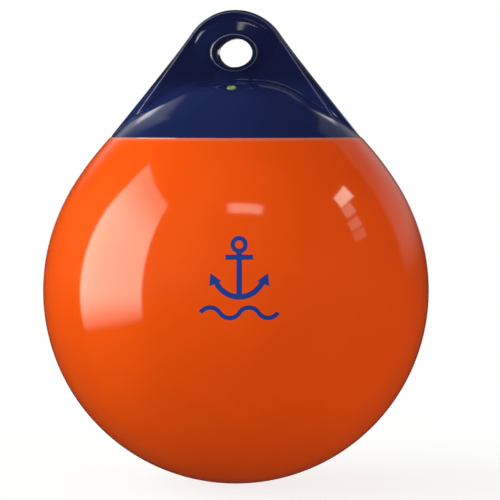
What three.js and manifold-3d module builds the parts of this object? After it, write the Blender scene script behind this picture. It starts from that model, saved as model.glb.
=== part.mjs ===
// Inflatable mooring buoy: a hollow vinyl ball with a solid rope eye moulded on its crown,
// and a rubber needle valve in front of the eye's foot.
// Millimetres, +Z up along the buoy's axis. The eye's bore runs along Y and the valve faces -Y.
// The origin is the centre of the eye.
import * as THREE from "three";
import { mergeVertices } from "three/addons/utils/BufferGeometryUtils.js";
import Module from "manifold-3d";

// The ball and its wall.
const BALL_RADIUS = 150;
const BALL_WALL = 3;

// The meridian above the ball's waist is a chain of tangent arcs. A latitude is the angle of the
// outward normal above the horizontal.
const UPPER_RADIUS = 155;
const SHOULDER_LATITUDE = 33;
const SHOULDER_RADIUS = 256;
const SEAM_LATITUDE = 43;
const DOME_RADIUS = 110;
const CONE_LATITUDE = 56;
const CONE_LENGTH = 30;
const KNEE_RADIUS = 60;

// The cap: the second colour of vinyl, sunk a little below the ball's own lip.
const CAP_WALL = 6;
const SEAM_STEP = 0.4;
const SEAM_ROUND = 0.8;
const CAP_TAPER_LATITUDE = 7;

// The ear is a plate across the cap, thicker towards its foot. Its rim at the middle plane is
// wider than the edge of its faces.
const EYE_RISE = 22.1;
const CROWN_RADIUS = 40.6;
const CROWN_DROP = 7.2;
const CROWN_LEAVES_AT = 33.5;
const EAR_HALF_AT_TOP = 10.5;
const EAR_TAPER = 6;
const EAR_LAND = 1.5;
const RIM_FOOT_LATITUDE = 44.6;
const RIM_FOOT_SLOPE = 39;
const FACE_INSET = 2.8;
const FACE_FOOT_LATITUDE = 55;
const FACE_FOOT_SLOPE = 41;
const FOOT_SINK = 0.4;
const EDGE_ROUND = 1.8;
const BEAD_WIDTH = 2.6;
const BEAD_SLOPE = 1.4;
const BEAD_HEIGHT = 0.9;
const BEAD_FADE = 42;

// The eye: an oval bore with rounded mouths, in a low cone-shaped boss on each face.
const EYE_HALF_WIDTH = 13.9;
const EYE_ASPECT = 0.8;
const EYE_ROUND = 1;
const BOSS_HALF_THICKNESS = 19;
const BOSS_LIP_WIDTH = 3.2;
const BOSS_LIP_ROUND = 1.3;
const BOSS_LIP_HEIGHT = 2;
const BOSS_FOOT_WIDTH = 26.8;

// The flare that carries the boss down on to the dome, front and back; its plan is an oval.
const FLARE_NECK = 17;
const FLARE_REACH = 36;
const FLARE_ASPECT = 0.5;
const FLARE_FALL = 9.7;
const FLARE_SINK = 2.2;
const FLARE_ROOT = 2;

// The needle valve and the pocket that holds it.
const VALVE_LATITUDE = 67;
const VALVE_HEAD_RADIUS = 3.6;
const VALVE_PROUD = 0.3;
const VALVE_NECK = 7;
const VALVE_BULB_RADIUS = 6;
const VALVE_BULB_HEIGHT = 5;
const VALVE_TAIL_RADIUS = 2.6;
const VALVE_TAIL = 6;
const VALVE_DIMPLE_RADIUS = 1.3;
const VALVE_DIMPLE_DEPTH = 1.1;
const NEEDLE_RADIUS = 0.5;
const MOUTH_RADIUS = 4.7;
const MOUTH_DEPTH = 1.2;
const POCKET_WALL = 2.4;
const CLEARANCE = 0.3;

// How finely round forms are drawn.
const TURNS = 60;
const EYE_TURNS = 40;
const VALVE_TURNS = 24;
const ARC_STEP = 6.5;
const SHORTEST_EDGE = 0.02;

const rad = THREE.MathUtils.degToRad;
const wasm = await Module();
wasm.setup();

// Solids and booleans.

function toSolid(geometry) {
  const bare = new THREE.BufferGeometry();
  bare.setAttribute("position", geometry.getAttribute("position"));
  if (geometry.index) bare.setIndex(geometry.index);
  const merged = mergeVertices(bare, 1e-4);
  return new wasm.Manifold(
    new wasm.Mesh({
      numProp: 3,
      vertProperties: new Float32Array(merged.attributes.position.array),
      triVerts: new Uint32Array(merged.index.array),
    }),
  );
}

// Edges too short to see are closed up on the way.
function toGeometry(solid) {
  const mesh = solid.asOriginal().simplify(SHORTEST_EDGE).getMesh();
  const geometry = new THREE.BufferGeometry();
  geometry.setAttribute("position", new THREE.BufferAttribute(mesh.vertProperties, 3));
  geometry.setIndex(new THREE.BufferAttribute(mesh.triVerts, 1));
  const flat = geometry.toNonIndexed();
  flat.computeVertexNormals();
  return flat;
}

// Points of an arc about a centre, from one latitude to another, in degrees.
function arc(centre, radius, from, to, step = ARC_STEP) {
  const count = Math.max(1, Math.ceil(Math.abs(to - from) / step));
  return Array.from({ length: count + 1 }, (_, i) => onArc(centre, radius, from + ((to - from) * i) / count));
}

function onArc(centre, radius, latitude) {
  const turn = rad(latitude);
  return new THREE.Vector2(centre.x + radius * Math.cos(turn), centre.y + radius * Math.sin(turn));
}

function latitudeAt(centre, radius, height) {
  return THREE.MathUtils.radToDeg(Math.asin((height - centre.y) / radius));
}

// A closed solid of revolution about Z, from a profile of radius and height that runs anticlockwise.
function revolved(profile, turns = TURNS) {
  const closed = profile.concat(profile[0].clone());
  return new THREE.LatheGeometry(closed, turns).rotateX(Math.PI / 2);
}

// The meridian, measured from the ball's centre.
const BALL_CENTRE = new THREE.Vector2(0, 0);
const UPPER_CENTRE = onArc(BALL_CENTRE, BALL_RADIUS - UPPER_RADIUS, 0);
const SHOULDER_CENTRE = onArc(UPPER_CENTRE, UPPER_RADIUS - SHOULDER_RADIUS, SHOULDER_LATITUDE);
const DOME_CENTRE = onArc(SHOULDER_CENTRE, SHOULDER_RADIUS - DOME_RADIUS, SEAM_LATITUDE);
const CONE_RUN = onArc(BALL_CENTRE, CONE_LENGTH, CONE_LATITUDE + 90);
const KNEE_CENTRE = onArc(DOME_CENTRE, DOME_RADIUS - KNEE_RADIUS, CONE_LATITUDE).add(CONE_RUN);
const SEAM_HEIGHT = onArc(SHOULDER_CENTRE, SHOULDER_RADIUS, SEAM_LATITUDE).y;
const DOME_TOP = KNEE_CENTRE.y + KNEE_RADIUS - SEAM_STEP;
const EYE_HEIGHT = DOME_TOP + EYE_RISE;

function shoulderArc(inset, from, to) {
  return arc(SHOULDER_CENTRE, SHOULDER_RADIUS - inset, from, to);
}

function ballShell() {
  const lipRound = Math.min(SEAM_ROUND, BALL_WALL / 2);
  const outer = onArc(SHOULDER_CENTRE, SHOULDER_RADIUS, SEAM_LATITUDE);
  const lipCentre = new THREE.Vector2(outer.x - lipRound, SEAM_HEIGHT - lipRound);
  const lip = arc(lipCentre, lipRound, SEAM_LATITUDE, 90, 25);
  const below = latitudeAt(SHOULDER_CENTRE, SHOULDER_RADIUS, SEAM_HEIGHT - 2 * lipRound);
  const within = latitudeAt(SHOULDER_CENTRE, SHOULDER_RADIUS - BALL_WALL, SEAM_HEIGHT);
  return revolved([
    ...arc(BALL_CENTRE, BALL_RADIUS, -90, 0),
    ...arc(UPPER_CENTRE, UPPER_RADIUS, 0, SHOULDER_LATITUDE).slice(1),
    ...shoulderArc(0, SHOULDER_LATITUDE, below).slice(1),
    ...lip,
    ...shoulderArc(BALL_WALL, within, SHOULDER_LATITUDE),
    ...arc(UPPER_CENTRE, UPPER_RADIUS - BALL_WALL, SHOULDER_LATITUDE, 0, 2 * ARC_STEP).slice(1),
    ...arc(BALL_CENTRE, BALL_RADIUS - BALL_WALL, 0, -90, 2 * ARC_STEP).slice(1),
  ]);
}

// The dome under the ear, from a latitude near the seam up to the crown: an arc, a straight cone
// and a knee, all set in from the meridian by one distance.
function domeArcs(inset, start, step) {
  return [
    ...arc(DOME_CENTRE, DOME_RADIUS - inset, start, CONE_LATITUDE, step),
    ...arc(KNEE_CENTRE, KNEE_RADIUS - inset, CONE_LATITUDE, 90, step),
  ];
}

function domeSolid() {
  const start = latitudeAt(DOME_CENTRE, DOME_RADIUS - SEAM_STEP, SEAM_HEIGHT);
  return revolved([
    new THREE.Vector2(0, SEAM_HEIGHT),
    ...domeArcs(SEAM_STEP, start, ARC_STEP * 0.7),
    new THREE.Vector2(0, DOME_TOP),
  ]);
}

function airSpace() {
  const skin = SHOULDER_RADIUS - BALL_WALL;
  const rim = onArc(SHOULDER_CENTRE, skin, latitudeAt(SHOULDER_CENTRE, skin, SEAM_HEIGHT));
  const roof = domeArcs(CAP_WALL, SEAM_LATITUDE + CAP_TAPER_LATITUDE, 2 * ARC_STEP);
  return revolved([
    new THREE.Vector2(0, SEAM_HEIGHT - CAP_WALL),
    new THREE.Vector2(rim.x, SEAM_HEIGHT - CAP_WALL),
    rim,
    ...roof,
    new THREE.Vector2(0, roof.at(-1).y),
  ]);
}

// The ear's outlines, as x and z from the ball's centre: a round crown, a flank that flares to a
// foot just inside the dome's skin, and a straight base that the dome hides.

function domeFoot(latitude, depth) {
  const skin = onArc(DOME_CENTRE, DOME_RADIUS - SEAM_STEP - FOOT_SINK, latitude);
  return new THREE.Vector2(Math.sqrt(skin.x ** 2 - depth ** 2), skin.y);
}

function flankControl(start, startSlope, foot, footSlope) {
  const rise = start.y - foot.y;
  const run = (foot.x - start.x - Math.tan(footSlope) * rise) / (Math.tan(startSlope) - Math.tan(footSlope));
  return new THREE.Vector2(start.x + Math.tan(startSlope) * run, start.y - run);
}

// An outline set in from the rim's crown by one distance, and from its own foot by another.
function earOutline(crownInset, foot, footSlope, footInset) {
  const centre = new THREE.Vector2(0, EYE_HEIGHT - CROWN_DROP);
  const radius = CROWN_RADIUS - crownInset;
  const leaves = rad(CROWN_LEAVES_AT);
  const corner = new THREE.Vector2(
    foot.x - footInset * (Math.tan(footSlope) + 1 / Math.cos(footSlope)),
    foot.y + footInset,
  );
  const crown = new THREE.EllipseCurve(0, centre.y, radius, radius, Math.PI / 2, leaves, true);
  const start = crown.getPoint(1);
  const control = flankControl(start, leaves, corner, footSlope);
  const flank = new THREE.QuadraticBezierCurve(start, control, corner);
  const half = [
    ...crown.getPoints(9),
    ...flank.getPoints(11).slice(1),
    new THREE.Vector2(corner.x / 2, corner.y),
    new THREE.Vector2(0, corner.y),
  ];
  const other = half.slice(1, -1).reverse();
  return half.concat(other.map((p) => new THREE.Vector2(-p.x, p.y)));
}

function earHalfThickness(height) {
  const crownTop = EYE_HEIGHT - CROWN_DROP + CROWN_RADIUS;
  return EAR_HALF_AT_TOP + (crownTop - height) * Math.tan(rad(EAR_TAPER));
}

// The bead round each face is full on the crown and dies out down the flanks.
function beadHeight(height) {
  const crownTop = EYE_HEIGHT - CROWN_DROP + CROWN_RADIUS;
  const share = THREE.MathUtils.smoothstep(height, crownTop - BEAD_FADE, crownTop - BEAD_FADE / 2);
  return BEAD_HEIGHT * share;
}

// Loops of points [x, y, z] from the middle plane out to one face.
function earLoops(side) {
  const rimFoot = domeFoot(RIM_FOOT_LATITUDE, 0);
  const footHeight = onArc(DOME_CENTRE, DOME_RADIUS, FACE_FOOT_LATITUDE).y;
  const faceFoot = domeFoot(FACE_FOOT_LATITUDE, earHalfThickness(footHeight));
  const rim = earOutline(0, rimFoot, rad(RIM_FOOT_SLOPE), 0);
  const face = (inset) => earOutline(FACE_INSET + inset, faceFoot, rad(FACE_FOOT_SLOPE), inset);
  const place = (outline, depth) => outline.map((p) => [p.x, side * depth(p.y), p.y]);
  const loops = [place(rim, () => EAR_LAND)];
  for (const turn of [0, 30, 60, 90]) {
    const inset = EDGE_ROUND * (1 - Math.cos(rad(turn)));
    const sink = EDGE_ROUND * (1 - Math.sin(rad(turn)));
    loops.push(place(face(inset), (z) => earHalfThickness(z) - sink));
  }
  loops.push(place(face(EDGE_ROUND + BEAD_WIDTH), earHalfThickness));
  const webDepth = (z) => earHalfThickness(z) - beadHeight(z);
  const web = face(EDGE_ROUND + BEAD_WIDTH + BEAD_SLOPE);
  const middle = new THREE.Vector2(0, EYE_HEIGHT);
  for (const share of [1, 0.5]) {
    loops.push(place(web.map((p) => middle.clone().lerp(p, share)), webDepth));
  }
  return { loops, middle: [middle.x, side * webDepth(middle.y), middle.y] };
}

// A closed skin through loops of equal length, ended by a fan at each side.
function lofted(first, loops, last) {
  const count = loops[0].length;
  const positions = [first, ...loops.flat(), last].flat();
  const index = [];
  const at = (loop, i) => 1 + loop * count + (i % count);
  for (let i = 0; i < count; i++) {
    index.push(0, at(0, i + 1), at(0, i));
    for (let loop = 0; loop + 1 < loops.length; loop++) {
      index.push(at(loop, i), at(loop + 1, i + 1), at(loop + 1, i));
      index.push(at(loop, i), at(loop, i + 1), at(loop + 1, i + 1));
    }
    index.push(positions.length / 3 - 1, at(loops.length - 1, i), at(loops.length - 1, i + 1));
  }
  const geometry = new THREE.BufferGeometry();
  geometry.setAttribute("position", new THREE.Float32BufferAttribute(positions, 3));
  geometry.setIndex(index);
  return geometry;
}

function earPlate() {
  const front = earLoops(-1);
  const back = earLoops(1);
  return lofted(front.middle, [...front.loops.reverse(), ...back.loops], back.middle);
}

// Rings about the eye's bore, which lies along Y; their height is squeezed to the eye's oval.

function aboutEye(profile) {
  const closed = profile.concat(profile[0].clone());
  const ring = new THREE.LatheGeometry(closed, EYE_TURNS);
  return ring.scale(1, 1, EYE_ASPECT).translate(0, 0, EYE_HEIGHT);
}

function eyeBoss() {
  const lip = EYE_HALF_WIDTH + EYE_ROUND + BOSS_LIP_WIDTH;
  const shoulder = BOSS_HALF_THICKNESS - BOSS_LIP_HEIGHT;
  const foot = Math.min(shoulder, earHalfThickness(EYE_HEIGHT) - BEAD_HEIGHT);
  const corner = new THREE.Vector2(lip - BOSS_LIP_ROUND, BOSS_HALF_THICKNESS - BOSS_LIP_ROUND);
  const upper = [
    new THREE.Vector2(BOSS_FOOT_WIDTH, foot - EDGE_ROUND),
    new THREE.Vector2(BOSS_FOOT_WIDTH, foot),
    new THREE.Vector2(lip + BOSS_LIP_ROUND, shoulder),
    ...arc(corner, BOSS_LIP_ROUND, 0, 90, 30),
  ];
  const lower = upper.map((p) => new THREE.Vector2(p.x, -p.y)).reverse();
  return aboutEye([
    new THREE.Vector2(0, -BOSS_HALF_THICKNESS),
    ...lower,
    ...upper,
    new THREE.Vector2(0, BOSS_HALF_THICKNESS),
  ]);
}

function bossFlare() {
  const foot = DOME_TOP - FLARE_SINK;
  const curve = arc(new THREE.Vector2(0, 0), 1, 90, 0, 22.5).map(
    (p) => new THREE.Vector2(FLARE_REACH - (FLARE_REACH - FLARE_NECK) * p.x, foot + FLARE_FALL * (1 - p.y)),
  );
  const root = new THREE.Vector2(FLARE_REACH - FLARE_ROOT, foot - FLARE_ROOT);
  const top = new THREE.Vector2(FLARE_NECK, foot + FLARE_FALL + FLARE_ROOT);
  const outline = [new THREE.Vector2(0, root.y), root, ...curve, top, new THREE.Vector2(0, top.y)];
  return revolved(outline, EYE_TURNS).scale(FLARE_ASPECT, 1, 1);
}

function eyeBore() {
  const centre = new THREE.Vector2(EYE_HALF_WIDTH + EYE_ROUND, BOSS_HALF_THICKNESS - EYE_ROUND);
  const mouth = arc(centre, EYE_ROUND, 180, 90, 22.5);
  const reach = BOSS_HALF_THICKNESS + EYE_ROUND;
  const upper = [...mouth, new THREE.Vector2(centre.x, reach)];
  const lower = upper.map((p) => new THREE.Vector2(p.x, -p.y)).reverse();
  return aboutEye([new THREE.Vector2(0, -reach), ...lower, ...upper, new THREE.Vector2(0, reach)]);
}

// The valve's own frame: +Z out of the dome's knee, origin on its skin.

const VALVE_POINT = onArc(KNEE_CENTRE, KNEE_RADIUS - SEAM_STEP, VALVE_LATITUDE);
const VALVE_TILT = rad(90 - VALVE_LATITUDE);

function besideDome(geometry) {
  return geometry.rotateX(VALVE_TILT).translate(0, -VALVE_POINT.x, VALVE_POINT.y);
}

// Depths below the skin, from the neck to the end of the pocket.
const NECK_END = VALVE_NECK;
const BULB_END = NECK_END + VALVE_BULB_HEIGHT;
const POCKET_END = BULB_END + CLEARANCE + POCKET_WALL;

function valvePocket() {
  const radius = VALVE_BULB_RADIUS + CLEARANCE + POCKET_WALL;
  const depth = POCKET_END - CAP_WALL / 2;
  const boss = new THREE.CylinderGeometry(radius, radius, depth, VALVE_TURNS).rotateX(Math.PI / 2);
  return besideDome(boss.translate(0, 0, -CAP_WALL / 2 - depth / 2));
}

function valveSeat() {
  const neck = VALVE_HEAD_RADIUS + CLEARANCE;
  const bulb = VALVE_BULB_RADIUS + CLEARANCE;
  const tail = VALVE_TAIL_RADIUS + CLEARANCE;
  const below = POCKET_END + POCKET_WALL;
  const points = [
    [0, -below],
    [tail, -below],
    [tail, -BULB_END - CLEARANCE],
    [bulb, -BULB_END - CLEARANCE],
    [bulb, -NECK_END + CLEARANCE],
    [neck, -NECK_END + CLEARANCE],
    [neck, -MOUTH_DEPTH],
    [MOUTH_RADIUS, 0],
    [MOUTH_RADIUS, MOUTH_DEPTH],
    [0, MOUTH_DEPTH],
  ];
  return besideDome(revolved(points.map(([r, z]) => new THREE.Vector2(r, z)), VALVE_TURNS));
}

function valveBody() {
  const crown = VALVE_HEAD_RADIUS / 4;
  const tailEnd = -BULB_END - VALVE_TAIL;
  const points = [
    [NEEDLE_RADIUS, tailEnd],
    [VALVE_TAIL_RADIUS * 0.75, tailEnd],
    [VALVE_TAIL_RADIUS, tailEnd + VALVE_TAIL / 3],
    [VALVE_TAIL_RADIUS, -BULB_END],
    [VALVE_BULB_RADIUS, -BULB_END],
    [VALVE_BULB_RADIUS, -NECK_END - VALVE_BULB_HEIGHT / 3],
    [VALVE_BULB_RADIUS - CLEARANCE, -NECK_END],
    [VALVE_HEAD_RADIUS, -NECK_END],
    [VALVE_HEAD_RADIUS, VALVE_PROUD - crown],
    [VALVE_HEAD_RADIUS - crown / 3, VALVE_PROUD - crown / 3],
    [VALVE_HEAD_RADIUS - crown, VALVE_PROUD],
    [VALVE_DIMPLE_RADIUS, VALVE_PROUD],
    [NEEDLE_RADIUS, VALVE_PROUD - VALVE_DIMPLE_DEPTH],
  ];
  return revolved(points.map(([r, z]) => new THREE.Vector2(r, z)), VALVE_TURNS);
}

function ropeEyeCap() {
  const ear = toSolid(earPlate()).add(toSolid(eyeBoss())).add(toSolid(bossFlare()));
  const outside = toSolid(domeSolid()).add(ear);
  const hollow = outside.subtract(toSolid(airSpace()));
  const pocketed = hollow.add(toSolid(valvePocket()));
  return toGeometry(pocketed.subtract(toSolid(valveSeat())).subtract(toSolid(eyeBore())));
}

// Materials.

const orangeVinyl = new THREE.MeshStandardMaterial({ color: 0xe8560e, roughness: 0.18, metalness: 0 });
const navyVinyl = new THREE.MeshStandardMaterial({ color: 0x19224f, roughness: 0.15, metalness: 0 });
const oliveRubber = new THREE.MeshStandardMaterial({ color: 0x8e9e5c, roughness: 0.5, metalness: 0 });

function piece(name, geometry, material) {
  const mesh = new THREE.Mesh(geometry, material);
  mesh.name = name;
  return mesh;
}

const buoy = new THREE.Group();
buoy.position.z = -EYE_HEIGHT;
buoy.add(piece("ball_shell", ballShell(), orangeVinyl));
buoy.add(piece("rope_eye_cap", ropeEyeCap(), navyVinyl));

const valve = piece("needle_valve", valveBody(), oliveRubber);
valve.rotation.x = VALVE_TILT;
valve.position.set(0, -VALVE_POINT.x, VALVE_POINT.y);
buoy.add(valve);

export default buoy;
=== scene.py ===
import math

import bmesh
import bpy
from mathutils import Matrix, Vector


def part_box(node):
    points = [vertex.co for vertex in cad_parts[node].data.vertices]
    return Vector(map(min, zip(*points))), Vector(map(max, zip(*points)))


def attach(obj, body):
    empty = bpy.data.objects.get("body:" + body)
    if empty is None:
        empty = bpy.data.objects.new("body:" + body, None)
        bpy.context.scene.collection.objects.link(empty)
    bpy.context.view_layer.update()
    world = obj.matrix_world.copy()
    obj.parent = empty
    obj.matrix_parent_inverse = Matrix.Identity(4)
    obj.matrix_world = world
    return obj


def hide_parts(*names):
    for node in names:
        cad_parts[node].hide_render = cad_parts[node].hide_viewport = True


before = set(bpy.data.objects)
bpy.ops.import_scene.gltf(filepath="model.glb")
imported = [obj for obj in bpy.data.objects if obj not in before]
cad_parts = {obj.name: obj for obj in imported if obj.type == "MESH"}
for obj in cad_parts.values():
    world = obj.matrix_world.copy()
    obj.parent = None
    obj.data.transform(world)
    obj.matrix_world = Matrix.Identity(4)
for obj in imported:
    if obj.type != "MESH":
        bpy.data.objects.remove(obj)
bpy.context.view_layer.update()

# Sizes are millimetres from the ball's centre, with Z up and the valve towards -Y, unless a
# comment says otherwise. A latitude is the angle of the outward normal above the horizontal.
MM = 0.001

# The ball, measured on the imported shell.
shell_low, shell_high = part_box("ball_shell")
SHELL_RADIUS = (shell_high.x - shell_low.x) / 2 / MM
SEAM_HEIGHT = (shell_high.z - shell_low.z) / MM - SHELL_RADIUS
PLACE = Matrix.Translation((0, 0, shell_low.z + SHELL_RADIUS * MM)) @ Matrix.Scale(MM, 4)
PRINT_PROUD = 0.05
BALL_RADIUS = SHELL_RADIUS - PRINT_PROUD
BALL_WALL = 3

# The meridian above the waist. The cap's skin lies a small step inside it.
UPPER_RADIUS = 155
SHOULDER_LATITUDE = 33
SHOULDER_RADIUS = 256
SEAM_LATITUDE = 43
DOME_RADIUS = 110
CONE_LATITUDE = 56
CONE_LENGTH = 30
KNEE_RADIUS = 60
SEAM_STEP = 0.4
LIP_ROUND = 0.8
CAP_WALL = 6
CAP_MOUTH_RADIUS = 92.7
ROOF_LATITUDES = (64, 72, 80, 88)
BELOW_SEAM = 4

# The ear and its eye.
EYE_HEIGHT = -PLACE.translation.z / MM
CROWN_RADIUS = 40.6
CROWN_DROP = 7.2
CROWN_LEAVES_AT = 33.5
RIM_FOOT = (95.4, 121.2)
RIM_FOOT_SLOPE = 39
EAR_HALF_AT_TOP = 10.5
EAR_TAPER = 6
EAR_LAND = 8.5
FACE_INSET = 1.6
FACE_LEAVES_RIM_AT = 188
FACE_DRAWS_IN = 0.1
EDGE_ROUND = 0.9
BEAD_WIDTH = 0.6
BEAD_SLOPE = 1
BEAD_HEIGHT = 0.9
BEAD_FADE = 44
EYE_HALF_WIDTH = 13.9
EYE_ASPECT = 0.8
EYE_ROUND = 1.0
BOSS_HALF_THICKNESS = 18.9
BOSS_LIP_WIDTH = 3.2
BOSS_LIP_ROUND = 1.3
BOSS_LIP_HEIGHT = 2
BOSS_FOOT_WIDTH = 32
WALL_SINKS_IN = 0.2
NECK_TOP = 17.4
NECK_FOOT = 19.2
NECK_ASPECT = 1.6
NECK_HEIGHT = 14
NECK_SINK = 4
NECK_ROOT = 2

# The needle valve.
VALVE_LATITUDE = 67
VALVE_HEAD_RADIUS = 3.6
VALVE_PROUD = 0.3
VALVE_NECK = 7
VALVE_BULB_RADIUS = 6
VALVE_BULB_HEIGHT = 5
VALVE_TAIL_RADIUS = 2.6
VALVE_TAIL = 6
VALVE_DIMPLE_RADIUS = 1.3
VALVE_DIMPLE_DEPTH = 1.1
VALVE_ROUND = 0.9
NEEDLE_RADIUS = 0.5
MOUTH_RADIUS = 4.9
MOUTH_DEPTH = 2
POCKET_WALL = 2.4
CLEARANCE = 0.3

# How fine the forms are. The cap is drawn as one skin of voxels and smoothed a few times.
TURNS = 192
SMALL_TURNS = 96
DEGREES_PER_STEP = 1.5
VOXEL = 1.0
SOFTENING = 3
SHARP_ANGLE = 35


# Profiles and solids of revolution.


def on_arc(centre, radius, latitude):
    turn = math.radians(latitude)
    return centre[0] + radius * math.cos(turn), centre[1] + radius * math.sin(turn)


def latitude_at(centre, radius, height):
    return math.degrees(math.asin((height - centre[1]) / radius))


class Profile:
    """A chain of lines and arcs in the XZ plane."""

    def __init__(self, start):
        self.bm = bmesh.new()
        self.tip = self.bm.verts.new((start[0], 0, start[1]))

    def line(self, *points):
        for x, z in points:
            made = bmesh.ops.extrude_vert_indiv(self.bm, verts=[self.tip])
            self.tip = made["verts"][0]
            self.tip.co = (x, 0, z)

    def arc(self, centre, start, end, step=DEGREES_PER_STEP):
        """Goes on round a centre, from one latitude to another."""
        turn = end - start
        made = bmesh.ops.spin(
            self.bm,
            geom=[self.tip],
            cent=(centre[0], 0, centre[1]),
            axis=(0, 1, 0),
            angle=-math.radians(turn),
            steps=max(1, round(abs(turn) / step)),
        )
        self.tip = next(v for v in made["geom_last"] if isinstance(v, bmesh.types.BMVert))

    def revolved(self, turns=TURNS):
        """The solid that the chain makes about the Z axis."""
        bmesh.ops.spin(
            self.bm,
            geom=self.bm.verts[:] + self.bm.edges[:],
            cent=(0, 0, 0),
            axis=(0, 0, 1),
            angle=2 * math.pi,
            steps=turns,
            use_merge=True,
        )
        return closed(self.bm)


def closed(bm):
    bmesh.ops.remove_doubles(bm, verts=bm.verts, dist=1e-4)
    bmesh.ops.dissolve_degenerate(bm, edges=bm.edges, dist=1e-5)
    bmesh.ops.recalc_face_normals(bm, faces=bm.faces)
    return bm


def new_object(name, bm):
    mesh = bpy.data.meshes.new(name)
    bm.to_mesh(mesh)
    bm.free()
    made = bpy.data.objects.new(name, mesh)
    bpy.context.scene.collection.objects.link(made)
    return made


def with_modifiers_applied(made, helpers=()):
    """The object's shape with its modifiers, as a bmesh; the object and its helpers go."""
    graph = bpy.context.evaluated_depsgraph_get()
    mesh = bpy.data.meshes.new_from_object(made.evaluated_get(graph))
    bm = bmesh.new()
    bm.from_mesh(mesh)
    bpy.data.meshes.remove(mesh)
    for spare in (made, *helpers):
        bpy.data.objects.remove(spare)
    return bm


def joined(*solids):
    """Several bmeshes as one, each still its own shell."""
    first = solids[0]
    for other in solids[1:]:
        mesh = bpy.data.meshes.new("part")
        other.to_mesh(mesh)
        other.free()
        first.from_mesh(mesh)
        bpy.data.meshes.remove(mesh)
    return first


def combine(made, tool, operation):
    """Keeps or takes away what one solid shares with another."""
    step = made.modifiers.new("combine", "BOOLEAN")
    step.operation = operation
    step.object = tool
    step.solver = "EXACT"


def finished(name, bm, node, material):
    """Puts a piece of the buoy in its place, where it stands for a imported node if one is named."""
    bmesh.ops.transform(bm, matrix=PLACE, verts=bm.verts)
    piece = new_object(name, bm)
    piece.data.materials.append(material)
    for face in piece.data.polygons:
        face.use_smooth = True
    piece.data.set_sharp_from_angle(angle=math.radians(SHARP_ANGLE))
    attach(piece, "root")
    if node:
        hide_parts(node)


BALL_CENTRE = (0, 0)
UPPER_CENTRE = (BALL_RADIUS - UPPER_RADIUS, 0)
SHOULDER_CENTRE = on_arc(UPPER_CENTRE, UPPER_RADIUS - SHOULDER_RADIUS, SHOULDER_LATITUDE)
DOME_CENTRE = on_arc(SHOULDER_CENTRE, SHOULDER_RADIUS - DOME_RADIUS, SEAM_LATITUDE)
CONE_CENTRE = on_arc(DOME_CENTRE, CONE_LENGTH, CONE_LATITUDE + 90)
KNEE_CENTRE = on_arc(CONE_CENTRE, DOME_RADIUS - KNEE_RADIUS, CONE_LATITUDE)


def ball():
    """The hollow ball, up to the rounded lip that the cap sits in."""
    outer = SHOULDER_RADIUS
    inner = SHOULDER_RADIUS - BALL_WALL
    below = latitude_at(SHOULDER_CENTRE, outer, SEAM_HEIGHT - LIP_ROUND)
    edge = on_arc(SHOULDER_CENTRE, outer, below)
    lip_centre = on_arc(edge, -LIP_ROUND, below)
    within = latitude_at(SHOULDER_CENTRE, inner, SEAM_HEIGHT)
    lip_end = (lip_centre[0], SEAM_HEIGHT)
    shell = Profile((0, -BALL_RADIUS))
    shell.arc(BALL_CENTRE, -90, 0)
    shell.arc(UPPER_CENTRE, 0, SHOULDER_LATITUDE)
    shell.arc(SHOULDER_CENTRE, SHOULDER_LATITUDE, below, step=1)
    shell.arc(lip_centre, below, 90, step=12)
    shell.line(lip_end, on_arc(SHOULDER_CENTRE, inner, within))
    shell.arc(SHOULDER_CENTRE, within, SHOULDER_LATITUDE, step=3)
    shell.arc(UPPER_CENTRE, SHOULDER_LATITUDE, 0, step=5)
    shell.arc(BALL_CENTRE, 0, -90, step=5)
    return shell.revolved()


# The cap.


def dome():
    """The cap's outer skin as a solid, carried on below the seam where it is cut off later."""
    skin = DOME_RADIUS - SEAM_STEP
    knee = KNEE_RADIUS - SEAM_STEP
    low = latitude_at(DOME_CENTRE, skin, SEAM_HEIGHT) - BELOW_SEAM
    start = on_arc(DOME_CENTRE, skin, low)
    solid = Profile((0, start[1]))
    solid.line(start)
    solid.arc(DOME_CENTRE, low, CONE_LATITUDE, step=1)
    solid.line(on_arc(KNEE_CENTRE, knee, CONE_LATITUDE))
    solid.arc(KNEE_CENTRE, CONE_LATITUDE, 90, step=2)
    solid.line((0, KNEE_CENTRE[1] + knee))
    return solid.revolved()


def flank_points(start, foot):
    """A flank that leaves the crown at one slope and reaches its foot at another.

    Its last stretch lies inside the dome, so it is one straight step.
    """
    top = math.tan(math.radians(CROWN_LEAVES_AT))
    low = math.tan(math.radians(RIM_FOOT_SLOPE))
    fall = (foot[0] - start[0] - low * (start[1] - foot[1])) / (top - low)
    control = Vector((start[0] + top * fall, start[1] - fall))
    start, foot = Vector(start), Vector(foot)
    shares = [i / 24 for i in range(1, 20)] + [1]
    return [(start * (1 - t) ** 2 + control * 2 * t * (1 - t) + foot * t * t) for t in shares]


def half_thickness(height):
    top = EYE_HEIGHT - CROWN_DROP + CROWN_RADIUS
    return EAR_HALF_AT_TOP + (top - height) * math.tan(math.radians(EAR_TAPER))


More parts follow.
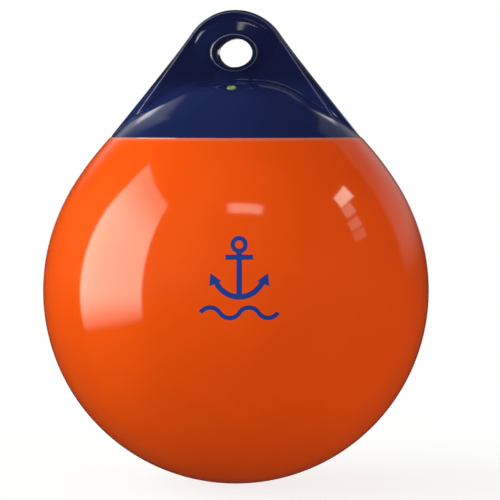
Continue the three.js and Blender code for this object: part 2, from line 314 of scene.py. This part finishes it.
def ear():
    """The plate: rim, drafted sides, rounded edges and a low bead inside each edge."""
    centre = (0, EYE_HEIGHT - CROWN_DROP)
    outline = Profile((0, centre[1] + CROWN_RADIUS))
    outline.arc(centre, 90, CROWN_LEAVES_AT, step=2)
    outline.line(*flank_points(on_arc(centre, CROWN_RADIUS, CROWN_LEAVES_AT), RIM_FOOT))
    outline.line((0, RIM_FOOT[1]))
    bm = outline.bm
    bmesh.ops.mirror(bm, geom=bm.verts[:] + bm.edges[:], axis="X", merge_dist=1e-3)
    bmesh.ops.remove_doubles(bm, verts=bm.verts, dist=1e-3)
    bmesh.ops.translate(bm, verts=bm.verts, vec=(0, EAR_LAND, 0))
    back = bmesh.ops.contextual_create(bm, geom=bm.edges)["faces"]
    made = bmesh.ops.extrude_face_region(bm, geom=back)["geom"]
    moved = [v for v in made if isinstance(v, bmesh.types.BMVert)]
    bmesh.ops.translate(bm, verts=moved, vec=(0, -2 * EAR_LAND, 0))
    bmesh.ops.recalc_face_normals(bm, faces=bm.faces)
    plain = half_thickness(EYE_HEIGHT)
    # Each step is a width inwards and a rise: the drafted side, its quarter round, the bead.
    steps = [(FACE_INSET, plain - EAR_LAND - EDGE_ROUND)]
    quarter = math.pi / 2
    for a, b in ((quarter * i / 4, quarter * (i + 1) / 4) for i in range(4)):
        steps.append((
            EDGE_ROUND * (math.cos(a) - math.cos(b)),
            EDGE_ROUND * (math.sin(b) - math.sin(a)),
        ))
    steps += [(BEAD_WIDTH, 0), (BEAD_SLOPE, -BEAD_HEIGHT)]
    front_and_back = [f for f in bm.faces if abs(f.normal.y) > 0.9 and len(f.verts) > 4]
    for face in front_and_back:
        for width, rise in steps:
            bmesh.ops.inset_individual(
                bm, faces=[face], thickness=width, depth=rise, use_even_offset=True
            )
    top = EYE_HEIGHT - CROWN_DROP + CROWN_RADIUS
    for vert in bm.verts:
        x, y, z = vert.co
        fade = min(1, max(0, 2 * (top - z) / BEAD_FADE - 1))
        depth = abs(y)
        if abs(depth - plain + BEAD_HEIGHT) < 1e-3:
            depth = plain - BEAD_HEIGHT * (1 - fade)
        beyond_rim = min(1, max(0, depth - EAR_LAND) / (plain - EDGE_ROUND - EAR_LAND))
        draw = beyond_rim * FACE_DRAWS_IN * max(0, FACE_LEAVES_RIM_AT - z)
        vert.co.x = math.copysign(max(0, abs(x) - draw), x)
        vert.co.y = math.copysign(depth * half_thickness(z) / plain, y)
    return bm


def about_eye(bm):
    """Turns a solid of revolution about Z into one about the eye's bore, squeezed to its oval."""
    along_bore = Matrix.Rotation(math.pi / 2, 3, "X")
    bmesh.ops.rotate(bm, verts=bm.verts, cent=(0, 0, 0), matrix=along_bore)
    bmesh.ops.scale(bm, verts=bm.verts, vec=(1, 1, EYE_ASPECT))
    bmesh.ops.translate(bm, verts=bm.verts, vec=(0, 0, EYE_HEIGHT))
    return closed(bm)


EYE_RIM = EYE_HALF_WIDTH + EYE_ROUND + BOSS_LIP_WIDTH
BOSS_SHOULDER = BOSS_HALF_THICKNESS - BOSS_LIP_HEIGHT


def boss():
    """The low cone round the eye on each face, up to the shoulder that the rim stands on."""
    foot = half_thickness(EYE_HEIGHT) - BEAD_HEIGHT
    shoulder = EYE_RIM + BOSS_LIP_ROUND
    ring = Profile((0, -BOSS_SHOULDER))
    ring.line((shoulder, -BOSS_SHOULDER), (BOSS_FOOT_WIDTH, -foot), (BOSS_FOOT_WIDTH, foot))
    ring.line((shoulder, BOSS_SHOULDER), (0, BOSS_SHOULDER))
    return about_eye(ring.revolved(SMALL_TURNS))


def eye_rim():
    """The eye's wall: its rounded mouths and the raised rim on each face."""
    top = BOSS_HALF_THICKNESS
    mouth = (EYE_HALF_WIDTH + EYE_ROUND, top - EYE_ROUND)
    lip = (EYE_RIM - BOSS_LIP_ROUND, top - BOSS_LIP_ROUND)
    foot = (EYE_RIM + BOSS_LIP_ROUND / 2, BOSS_SHOULDER - WALL_SINKS_IN)
    neck = BOSS_SHOULDER + 2 * WALL_SINKS_IN
    wall = Profile((EYE_HALF_WIDTH, -mouth[1]))
    wall.line((EYE_HALF_WIDTH, mouth[1]))
    wall.arc(mouth, 180, 90, step=15)
    wall.line((lip[0], top))
    wall.arc(lip, 90, 0, step=15)
    wall.line((EYE_RIM, neck), foot, (foot[0], -foot[1]))
    wall.line((EYE_RIM, -neck), (EYE_RIM, -lip[1]))
    wall.arc((lip[0], -lip[1]), 0, -90, step=15)
    wall.line((mouth[0], -top))
    wall.arc((mouth[0], -mouth[1]), 270, 180, step=15)
    return about_eye(wall.revolved(SMALL_TURNS))


def neck():
    """Carries the boss down on to the dome, front and back, almost upright."""
    foot = KNEE_CENTRE[1] + KNEE_RADIUS - NECK_SINK
    oval = Profile((0, foot - NECK_ROOT))
    oval.line((NECK_FOOT, foot - NECK_ROOT), (NECK_FOOT, foot + NECK_ROOT))
    oval.line((NECK_TOP, foot + NECK_HEIGHT), (0, foot + NECK_HEIGHT))
    bm = oval.revolved(SMALL_TURNS)
    bmesh.ops.scale(bm, verts=bm.verts, vec=(NECK_ASPECT, 1, 1))
    return bm


def eye_hole():
    """The hole that the eye's wall lines. It ends halfway through the wall, so no gap shows."""
    radius = (EYE_HALF_WIDTH + EYE_RIM) / 2
    hole = Profile((0, -2 * BOSS_HALF_THICKNESS))
    hole.line((radius, -2 * BOSS_HALF_THICKNESS), (radius, 2 * BOSS_HALF_THICKNESS))
    hole.line((0, 2 * BOSS_HALF_THICKNESS))
    return about_eye(hole.revolved(SMALL_TURNS))


VALVE_POINT = on_arc(KNEE_CENTRE, KNEE_RADIUS - SEAM_STEP, VALVE_LATITUDE)
VALVE_PLACE = Matrix.Translation((0, -VALVE_POINT[0], VALVE_POINT[1])) @ Matrix.Rotation(
    math.radians(90 - VALVE_LATITUDE), 4, "X"
)
BULB_END = VALVE_NECK + VALVE_BULB_HEIGHT
POCKET_END = BULB_END + CLEARANCE + POCKET_WALL


def at_valve(bm):
    bmesh.ops.transform(bm, matrix=VALVE_PLACE, verts=bm.verts)
    return closed(bm)


def valve_pocket():
    """The thicker place under the dome that holds the valve's bulb."""
    neck = VALVE_HEAD_RADIUS + CLEARANCE
    bulb = VALVE_BULB_RADIUS + CLEARANCE
    tail = VALVE_TAIL_RADIUS + CLEARANCE
    radius = bulb + POCKET_WALL
    pocket = Profile((neck, -CAP_WALL / 2))
    pocket.line(
        (radius, -CAP_WALL / 2),
        (radius, -POCKET_END),
        (tail, -POCKET_END),
        (tail, -BULB_END - CLEARANCE),
        (bulb, -BULB_END - CLEARANCE),
        (bulb, -VALVE_NECK + CLEARANCE),
        (neck, -VALVE_NECK + CLEARANCE),
        (neck, -CAP_WALL / 2),
    )
    return at_valve(pocket.revolved(SMALL_TURNS))


def valve_seat():
    """The hole through the dome's wall, with a flared mouth."""
    neck = VALVE_HEAD_RADIUS + CLEARANCE
    seat = Profile((0, -2 * CAP_WALL))
    seat.line(
        (neck, -2 * CAP_WALL),
        (neck, -MOUTH_DEPTH),
        (MOUTH_RADIUS, -MOUTH_DEPTH),
        (MOUTH_RADIUS, MOUTH_DEPTH),
        (0, MOUTH_DEPTH),
    )
    return at_valve(seat.revolved(SMALL_TURNS))


def valve():
    """The rubber plug: head, neck, bulb, tail and a fine needle hole."""
    tail_end = -BULB_END - VALVE_TAIL
    crown = VALVE_ROUND
    plug = Profile((NEEDLE_RADIUS, tail_end))
    plug.line(
        (VALVE_TAIL_RADIUS * 0.75, tail_end),
        (VALVE_TAIL_RADIUS, tail_end + VALVE_TAIL / 3),
        (VALVE_TAIL_RADIUS, -BULB_END),
        (VALVE_BULB_RADIUS, -BULB_END),
        (VALVE_BULB_RADIUS, -VALVE_NECK - VALVE_BULB_HEIGHT / 3),
        (VALVE_BULB_RADIUS - CLEARANCE, -VALVE_NECK),
        (VALVE_HEAD_RADIUS, -VALVE_NECK),
        (VALVE_HEAD_RADIUS, VALVE_PROUD - crown),
    )
    plug.arc((VALVE_HEAD_RADIUS - crown, VALVE_PROUD - crown), 0, 90, step=15)
    plug.line((VALVE_DIMPLE_RADIUS, VALVE_PROUD))
    plug.line((NEEDLE_RADIUS, VALVE_PROUD - VALVE_DIMPLE_DEPTH), (NEEDLE_RADIUS, tail_end))
    return at_valve(plug.revolved(SMALL_TURNS))


def hollowed(bm):
    """Cuts the cap off at the seam and draws its inner wall up from the cut edge."""
    bmesh.ops.bisect_plane(
        bm,
        geom=bm.verts[:] + bm.edges[:] + bm.faces[:],
        plane_co=(0, 0, SEAM_HEIGHT),
        plane_no=(0, 0, 1),
        clear_inner=True,
    )
    ring = [e for e in bm.edges if e.is_boundary]
    under = DOME_RADIUS - CAP_WALL
    roof = [(CAP_MOUTH_RADIUS, SEAM_HEIGHT)]
    roof += [on_arc(DOME_CENTRE, under, latitude) for latitude in (50, CONE_LATITUDE)]
    roof += [
        on_arc(KNEE_CENTRE, KNEE_RADIUS - CAP_WALL, latitude)
        for latitude in (CONE_LATITUDE, *ROOF_LATITUDES)
    ]
    for radius, height in roof:
        made = bmesh.ops.extrude_edge_only(bm, edges=ring)["geom"]
        ring = [e for e in made if isinstance(e, bmesh.types.BMEdge)]
        for vert in (v for v in made if isinstance(v, bmesh.types.BMVert)):
            flat = Vector((vert.co.x, vert.co.y, 0)).normalized() * radius
            vert.co = (flat.x, flat.y, height)
    bmesh.ops.contextual_create(bm, geom=ring)
    bmesh.ops.recalc_face_normals(bm, faces=bm.faces)
    return bm


def cap():
    """Dome, ear and boss in one skin, with soft fillets where they meet, and the eye's wall."""
    body = new_object("cap_body", joined(dome(), ear(), boss(), neck()))
    skin = body.modifiers.new("one_skin", "REMESH")
    skin.mode = "VOXEL"
    skin.voxel_size = VOXEL
    soft = body.modifiers.new("fillets", "SMOOTH")
    soft.factor = 0.5
    soft.iterations = SOFTENING
    solid = new_object("cap_solid", hollowed(with_modifiers_applied(body)))
    holes = new_object("cap_holes", joined(eye_hole(), valve_seat()))
    combine(solid, holes, "DIFFERENCE")
    return joined(with_modifiers_applied(solid, [holes]), eye_rim(), valve_pocket())


# The print on the ball's front: an anchor over a line of waves, flat on XZ and then cut from a
# thin layer of the ball's own skin.
MARK_AZIMUTH = 5.5
MARK_HEIGHT = 17
MARK_DEPTH = 0.4
MARK_LATITUDE = 30
RING_CENTRE = (0, 26)
RING_RADIUS = 4.6
ARM_RADIUS = 18.5
THICK_STROKE = 4
THIN_STROKE = 3.2
WAVE_RADIUS = 8.4
WAVE_PITCH = 14
CREST_CENTRE = -27.6
TROUGH_CENTRE = -18.4


def bar(x, z, width, height):
    """A straight bar round a point, deep enough to pass through the ball's front."""
    bm = bmesh.new()
    bmesh.ops.create_cube(bm, size=1)
    bmesh.ops.scale(bm, verts=bm.verts, vec=(width, 2 * UPPER_RADIUS, height))
    bmesh.ops.translate(bm, verts=bm.verts, vec=(x, -UPPER_RADIUS, z))
    return bm


def band(centre, radius, width, start, end):
    """A curved bar about a centre, from one latitude to another."""
    bm = bmesh.new()
    bmesh.ops.create_grid(bm, x_segments=1, y_segments=1, size=0.5)
    bmesh.ops.scale(bm, verts=bm.verts, vec=(width, 2 * UPPER_RADIUS, 1))
    bmesh.ops.translate(bm, verts=bm.verts, vec=(centre[0] + radius, -UPPER_RADIUS, centre[1]))
    pivot = (centre[0], 0, centre[1])
    turned = Matrix.Rotation(-math.radians(start), 3, "Y")
    bmesh.ops.rotate(bm, verts=bm.verts, cent=pivot, matrix=turned)
    bmesh.ops.spin(
        bm,
        geom=bm.faces[:],
        cent=pivot,
        axis=(0, 1, 0),
        angle=-math.radians(end - start),
        steps=round(abs(end - start) / 6),
    )
    return closed(bm)


def fluke(side):
    """The arrow point at an arm's end, a triangle that leans outwards."""
    size, lean, height = 5.6, 24, 0.5
    bm = bmesh.new()
    bmesh.ops.create_cone(
        bm, cap_ends=True, segments=3, radius1=size, radius2=size, depth=2 * UPPER_RADIUS
    )
    flat = Matrix.Rotation(math.radians(side * lean), 3, "Y") @ Matrix.Rotation(math.pi / 2, 3, "X")
    bmesh.ops.rotate(bm, verts=bm.verts, matrix=flat)
    bmesh.ops.translate(bm, verts=bm.verts, vec=(side * ARM_RADIUS, -UPPER_RADIUS, height))
    return bm


def skin_layer(proud):
    """The front of the ball as a thin layer, a little proud of it."""
    reach = MARK_LATITUDE
    layer = Profile(on_arc(BALL_CENTRE, BALL_RADIUS + proud, -reach))
    layer.arc(BALL_CENTRE, -reach, 0)
    layer.arc(UPPER_CENTRE, 0, reach)
    layer.line(on_arc(UPPER_CENTRE, UPPER_RADIUS - MARK_DEPTH, reach))
    layer.arc(UPPER_CENTRE, reach, 0)
    layer.arc(BALL_CENTRE, 0, -reach)
    return layer.revolved()


def mark():
    """Ring, shank, stock, arms and flukes of the anchor, and the waves below.

    Each stroke lies a hair lower than the one before it, so that none share a surface.
    """
    strokes = [
        band(RING_CENTRE, RING_RADIUS, THIN_STROKE, 0, 186),
        band(RING_CENTRE, RING_RADIUS, THIN_STROKE, 180, 366),
        bar(0, 4.5, THICK_STROKE, 35),
        bar(0, 17, 20, 3.6),
        band((0, 7), ARM_RADIUS, THICK_STROKE, 200, 340),
        fluke(-1),
        fluke(1),
    ]
    for x in (-1.5 * WAVE_PITCH, 0.5 * WAVE_PITCH):
        strokes.append(band((x, CREST_CENTRE), WAVE_RADIUS, THIN_STROKE, 33, 147))
        trough = (x + WAVE_PITCH, TROUGH_CENTRE)
        strokes.append(band(trough, WAVE_RADIUS, THIN_STROKE, 213, 327))
    turned = Matrix.Rotation(math.radians(MARK_AZIMUTH), 4, "Z")
    place = turned @ Matrix.Translation((0, 0, MARK_HEIGHT))
    for i, stroke in enumerate(strokes):
        bmesh.ops.transform(stroke, matrix=place, verts=stroke.verts)
        stencil = new_object("stroke", stroke)
        layer = new_object("layer", skin_layer(PRINT_PROUD * (1 - i / 20)))
        combine(layer, stencil, "INTERSECT")
        strokes[i] = with_modifiers_applied(layer, [stencil])
    return joined(*strokes)


# Finishes.


class Number:
    """A number that varies over a surface. Python's operators on it add Math nodes."""

    def __init__(self, finish, socket):
        self.finish = finish
        self.socket = socket

    def _math(self, operation, first, second):
        return self.finish.node("ShaderNodeMath", {"operation": operation}, {0: first, 1: second})

    def __add__(self, other):
        return self._math("ADD", self, other)

    def __sub__(self, other):
        return self._math("SUBTRACT", self, other)

    def __rsub__(self, other):
        return self._math("SUBTRACT", other, self)

    def __mul__(self, other):
        return self._math("MULTIPLY", self, other)

    __radd__ = __add__
    __rmul__ = __mul__


class Finish:
    """A node tree under construction, of a material or the world."""

    def __init__(self, owner):
        owner.use_nodes = True
        self.tree = owner.node_tree
        self.tree.nodes.clear()

    def node(self, kind, settings=None, values=None, output=0):
        """Adds a node: its settings, then the values or links of its sockets."""
        made = self.tree.nodes.new(kind)
        for name, value in (settings or {}).items():
            setattr(made, name, value)
        for name, value in (values or {}).items():
            socket = made.inputs[name]
            if isinstance(value, Number):
                self.tree.links.new(value.socket, socket)
            else:
                socket.default_value = value
        return Number(self, made.outputs[output]) if made.outputs else None

    def place(self):
        """Object coordinates: metres from the eye, or shares of a panel."""
        return self.node("ShaderNodeTexCoord", output=3)

    def axis(self, place, index):
        """One coordinate of a place: 0, 1 or 2 for x, y or z."""
        return self.node("ShaderNodeSeparateXYZ", {}, {"Vector": place}, index)

    def noise(self, place, scale, detail=2):
        values = {"Vector": place, "Scale": scale, "Detail": detail}
        return self.node("ShaderNodeTexNoise", {}, values)

    def glow(self, colour, strength=1.0):
        return self.node("ShaderNodeEmission", {}, {"Color": colour, "Strength": strength})

    def shown_by(self, shader):
        self.node("ShaderNodeOutputMaterial", {}, {"Surface": shader})

    def mixed(self, factor, first, second):
        """A colour between two colours."""
        settings = {"data_type": "RGBA"}
        return self.node("ShaderNodeMix", settings, {0: factor, 6: first, 7: second}, 2)

    def between(self, value, low, high, start=0.0, end=1.0):
        """A number brought from one range to another, level beyond its ends."""
        values = {"Value": value, 1: low, 2: high, 3: start, 4: end}
        return self.node("ShaderNodeMapRange", {"interpolation_type": "SMOOTHSTEP"}, values)


# Painted highlight lines and painted shade of the cap, and the painted highlight on the ball's lip,
# in millimetres from the eye. The ear's edge lies where x and the slope's share of z come to the
# reach.
RING_STANDS_OUT = (16.125, 17.03)
FLANK_SLOPE = 0.688
FLANK_REACH = 42
PAINTED_SHADE_FROM, PAINTED_SHADE_TO = -34, -16
LIP_HIGHLIGHT_WIDTH = 3


def painted_edge_highlights(finish, place):
    """How much painted highlight lies on the eye's ring, the crown's edge and the ear's right edge.
    """
    x, y, z = (finish.axis(place, i) for i in range(3))

    def line(distance, radius, width):
        """A soft line at a radius, from the square of the distance in metres."""
        inside, outside = (radius - width) * MM, (radius + width) * MM
        half = finish.between(distance, inside ** 2, (radius * MM) ** 2)
        return half * finish.between(distance, (radius * MM) ** 2, outside ** 2, 1, 0)

    ring = line(x * x + z * z * EYE_ASPECT ** -2, EYE_RIM - 0.5, 0.8)
    ring = ring * finish.between(y * y, *((edge * MM) ** 2 for edge in RING_STANDS_OUT))
    up = z + CROWN_DROP * MM
    crown = line(x * x + up * up, CROWN_RADIUS - FACE_INSET - 0.3, 0.6)
    reach = x + z * FLANK_SLOPE
    reach = finish.node("ShaderNodeMath", {"operation": "MAXIMUM"}, {0: reach, 1: 0})
    flank = line(reach * reach, FLANK_REACH, 1) * finish.between(z, -54 * MM, -46 * MM)
    flank = flank * finish.between(z, 4 * MM, 20 * MM, 1, 0)
    return ring * 0.8 + crown * finish.between(z, 8 * MM, 20 * MM) * 0.6 + flank * 0.8


def vinyl(name, deep, bright, roughness, peel, painted_shade=None, painted_highlight_colour=None, lip=None):
    """Glossy moulded vinyl: slow shifts of colour, and the faint waviness of a moulded skin.

    On the cap, the thick ear above the dome is darkened by painted shade, and some edges carry
    painted highlight lines. The ball carries a pale painted highlight along the lip at the seam.
    """
    material = bpy.data.materials.new(name)
    finish = Finish(material)
    place = finish.place()
    cloud = finish.noise(place, 9, detail=3)
    grain = finish.noise(place, 260)
    waves = finish.noise(place, 38)
    colour = finish.mixed(finish.between(cloud, 0.35, 0.65), deep, bright)
    height = finish.axis(place, 2)
    # Painted highlight: a pale band along the ball's lip under the seam stands in for the lip's
    # reflection.
    if lip:
        seam = PLACE.translation.z + SEAM_HEIGHT * MM
        painted_light_share = finish.between(height, seam - LIP_HIGHLIGHT_WIDTH * MM, seam, 0, 0.75)
        colour = finish.mixed(painted_light_share, colour, lip)
    # Painted shade: the ear above the dome is darkened, as it takes less light than the dome.
    if painted_shade:
        painted_light_share = finish.between(height, PAINTED_SHADE_FROM * MM, PAINTED_SHADE_TO * MM)
        colour = finish.mixed(painted_light_share, colour, painted_shade)
        # Painted highlights: pale lines along the eye's ring, the crown's edge and the ear's right
        # edge stand in for their reflections.
        colour = finish.mixed(painted_edge_highlights(finish, place), colour, painted_highlight_colour)
    rough = finish.between(cloud * 0.6 + grain * 0.4, 0.3, 0.7, roughness * 0.8, roughness * 1.25)
    bump = finish.node(
        "ShaderNodeBump",
        {},
        {"Strength": peel, "Distance": 0.0004, "Height": waves * 0.8 + grain * 0.2},
    )
    shader = finish.node("ShaderNodeBsdfPrincipled", {}, {
        "Base Color": colour,
        "Roughness": rough,
        "IOR": 1.52,
        "Normal": bump,
    })
    finish.shown_by(shader)
    return material


def rubber(name, deep, bright):
    """Satin rubber, with paler patches."""
    material = bpy.data.materials.new(name)
    finish = Finish(material)
    place = finish.place()
    grain = finish.noise(place, 900, detail=3)
    cloud = finish.noise(place, 160)
    colour = finish.mixed(finish.between(cloud, 0.35, 0.65), deep, bright)
    bump = finish.node(
        "ShaderNodeBump", {}, {"Strength": 0.2, "Distance": 0.0001, "Height": grain}
    )
    shader = finish.node("ShaderNodeBsdfPrincipled", {}, {
        "Base Color": colour,
        "Roughness": finish.between(grain, 0.3, 0.7, 0.38, 0.52),
        "Normal": bump,
    })
    finish.shown_by(shader)
    return material


orange_vinyl = vinyl(
    "orange_vinyl",
    (0.83, 0.074, 0.003, 1),
    (0.89, 0.082, 0.004, 1),
    0.068,
    0.03,
    # The colour of the painted highlight along the lip.
    lip=(0.6, 0.2, 0.15, 1),
)
navy_vinyl = vinyl(
    "navy_vinyl",
    (0.009, 0.015, 0.074, 1),
    (0.011, 0.018, 0.088, 1),
    0.07,
    0.03,
    # The colour of the painted shade on the ear.
    painted_shade=(0.0065, 0.0095, 0.046, 1),
    # The colour of the painted highlight lines on the edges.
    painted_highlight_colour=(0.13, 0.14, 0.22, 1),
)
olive_rubber = rubber("olive_rubber", (0.09, 0.135, 0.04, 1), (0.24, 0.31, 0.11, 1))
mark_ink = vinyl("mark_ink", (0.013, 0.04, 0.24, 1), (0.016, 0.049, 0.28, 1), 0.12, 0.02)

finished("ball", ball(), "ball_shell", orange_vinyl)
finished("rope_eye", cap(), "rope_eye_cap", navy_vinyl)
finished("valve", valve(), "needle_valve", olive_rubber)
finished("mark", mark(), None, mark_ink)


# The camera, in metres: level with the seam, a little to the right of the valve.
CAMERA_AZIMUTH = 4.6
CAMERA_DISTANCE = 2.0
CAMERA_HEIGHT = -0.0486
LENS = 185.1
AIM_RIGHT, AIM_UP = 0.0109, -0.1529

azimuth = math.radians(CAMERA_AZIMUTH)
RIGHT = Vector((math.cos(azimuth), math.sin(azimuth), 0))
BACK = Vector((-math.sin(azimuth), math.cos(azimuth), 0))
ball_centre = PLACE.translation.copy()

camera = bpy.data.objects.new("camera", bpy.data.cameras.new("camera"))
bpy.context.scene.collection.objects.link(camera)
bpy.context.scene.camera = camera
camera.data.lens = LENS
camera.location = -BACK * CAMERA_DISTANCE + Vector((0, 0, CAMERA_HEIGHT))
aim = RIGHT * AIM_RIGHT + Vector((0, 0, AIM_UP))
camera.rotation_euler = (aim - camera.location).to_track_quat("-Z", "Y").to_euler()


# The studio, in metres from the ball's centre: right, up and towards the camera. The panels show
# only where the glossy skin mirrors them; the sky gives the soft light.


def in_studio(place):
    """A place in the part's frame, from the studio's right, up and towards the camera."""
    x, y, z = place
    return RIGHT * x + Vector((0, 0, y)) - BACK * z + ball_centre


# The share of blue in a panel's warm glow.
PANEL_BLUE = 0.85


def panel(name, centre, across, upward, glow, softness, fades=False):
    """A flat panel with a warm glow and soft edges, spanned by two directions.

    The softness is the share of its width over which an edge fades. One that fades is dim at the
    top and dark at the foot.
    """
    bm = bmesh.new()
    bmesh.ops.create_grid(bm, x_segments=1, y_segments=1, size=0.5)
    made = new_object(name, bm)
    right, up = in_studio(across) - ball_centre, in_studio(upward) - ball_centre
    out = right.cross(up).normalized()
    made.matrix_world = Matrix((right, up, out)).transposed().to_4x4()
    made.matrix_world.translation = in_studio(centre)
    material = bpy.data.materials.new(name)
    finish = Finish(material)
    place = finish.place()
    side, height = finish.axis(place, 0), finish.axis(place, 1)
    full = (0.5 - softness) ** 2
    strength = finish.between(side * side, full, 0.25, glow, 0)
    strength = strength * finish.between(height * height, full, 0.25, 1, 0)
    if fades:
        strength = strength * finish.between(height, -0.53, -0.29)
        strength = strength * finish.between(height, 0, 0.45, 1, 0.4)
    blue = strength * PANEL_BLUE
    warm = finish.node("ShaderNodeCombineXYZ", {}, {0: strength, 1: strength, 2: blue})
    finish.shown_by(finish.glow(warm))
    made.data.materials.append(material)
    made.visible_camera = False
    made.visible_diffuse = False
    made.visible_shadow = False


panel("left_box", (-1.2, 0.59, 0.345), (0, 0, 1.11), (0, 1.94, 0), 6.1, 0.05, fades=True)
panel("front_strip", (0.16, 1.41, 1.225), (0.7, 0, 0), (0, 0.14, -0.175), 4, 0.2)
panel("pane_1", (1.3, 1.1, 0.01), (0, 0, 0.44), (0, 0.23, 0), 5.8, 0.1)
panel("pane_2", (1.3, 0.9, 0.11), (0, 0, 0.28), (0, 0.17, 0), 2, 0.1)
panel("pane_3", (1.3, 0.72, 0.15), (0, 0, 0.28), (0, 0.14, 0), 1.5, 0.1)
panel("pane_4", (1.3, 0.58, 0.16), (0, 0, 0.28), (0, 0.12, 0), 1, 0.1)

world = bpy.data.worlds.new("studio")
bpy.context.scene.world = world
world.cycles.sampling_method = "NONE"
sky = Finish(world)


def along(axis):
    """How far a direction of the sky points along an axis."""
    values = {0: sky.node("ShaderNodeTexCoord", output=0), 1: axis}
    return sky.node("ShaderNodeVectorMath", {"operation": "DOT_PRODUCT"}, values, 1)


# What the glossy skin mirrors of the sky, by how far a direction points behind the ball, to the
# right and up: a screen on each side, the gap between them at the horizon, and a light overhead.
behind, across, rise = along(BACK), along(RIGHT), along((0, 0, 1))
left_wing = sky.between(-1 * across, 0.34, 0.58, 1, 0) * sky.between(rise, 0.16, 0.44)
left_wing = left_wing * sky.between(-1 * across - 0.27 * rise, 0.13, 0.17)
left_wing = left_wing * sky.between(behind, 0.56, 0.64) * 0.8
right_wing = sky.between(across - 0.87 * rise, -0.17, -0.12) * sky.between(across, 0.14, 0.34)
right_wing = right_wing * sky.between(rise, 0, 0.2) * sky.between(behind, 0.45, 0.55) * 0.34
gap = sky.between(behind, 0.972, 0.985) * sky.between(rise, 0.02, 0.05, 1, 0)
gap = gap * sky.between(rise, -0.04, -0.01)
overhead = sky.between(rise * rise - 1.2 * across * across, 0.02, 0.06)
overhead = overhead * sky.between(rise, 0, 0.05)
overhead = overhead * sky.between(behind, 0.8, 0.86) * sky.between(behind, 0.92, 0.95, 1, 0)
wings = (left_wing + right_wing) * sky.between(rise, 0.3, 0.5, 1, 0.48)
mirrored = wings + gap * 0.8 + overhead * 1.2 + 0.02

# The soft light is strongest from the left and low, and a little yellow there. The camera sees
# white.
soft = 1.16 - 0.8 * across - 0.67 * rise
soft = soft + 2.1 * sky.between(-1 * across, 0.45, 1) + 0.75 * sky.between(across, 0.45, 1)
seen = sky.node("ShaderNodeLightPath", output=0)
glossy = sky.node("ShaderNodeLightPath", output=3)
strength = seen + (1 - seen) * (glossy * mirrored + (1 - glossy) * soft)
yellow = strength * (1 + 0.25 * sky.between(-1 * across, 0.2, 1) * (1 - seen) * (1 - glossy))
light = sky.node("ShaderNodeCombineXYZ", {}, {0: strength, 1: yellow, 2: strength})
background = sky.node("ShaderNodeBackground", {}, {"Color": light})
sky.node("ShaderNodeOutputWorld", {}, {"Surface": background})

# The floor shows as almost white paper with a soft shadow, and lights the ball from below, more
# on the right than on the left.
FLOOR_SIZE = 8
FLOOR_GAP = 0.5
PAPER_GLOW = 1.08
PAPER_GLOW_SHARE = 0.75
BOUNCE_LEFT, BOUNCE_RIGHT = 0.22, 0.76
BOUNCE_REACH = 0.35
floor_material = bpy.data.materials.new("pale_floor")
pale = Finish(floor_material)
matt = pale.node("ShaderNodeBsdfDiffuse", {}, {"Color": (0.8, 0.8, 0.8, 1)})
glow = pale.glow((1, 1, 1, 1), PAPER_GLOW)
paper = pale.node("ShaderNodeMixShader", {}, {0: PAPER_GLOW_SHARE, 1: matt, 2: glow})
side = pale.axis(pale.place(), 0)
bounce = pale.glow(pale.between(side, -BOUNCE_REACH, BOUNCE_REACH, BOUNCE_LEFT, BOUNCE_RIGHT))
seen = pale.node("ShaderNodeLightPath", output=0)
pale.shown_by(pale.node("ShaderNodeMixShader", {}, {0: seen, 1: bounce, 2: paper}))

bm = bmesh.new()
bmesh.ops.create_grid(bm, x_segments=1, y_segments=1, size=FLOOR_SIZE / 2)
bmesh.ops.translate(bm, verts=bm.verts, vec=(0, 0, shell_low.z - FLOOR_GAP * MM))
floor = new_object("floor", bm)
floor.data.materials.append(floor_material)
floor.visible_glossy = False

bpy.context.scene.view_settings.view_transform = "Standard"
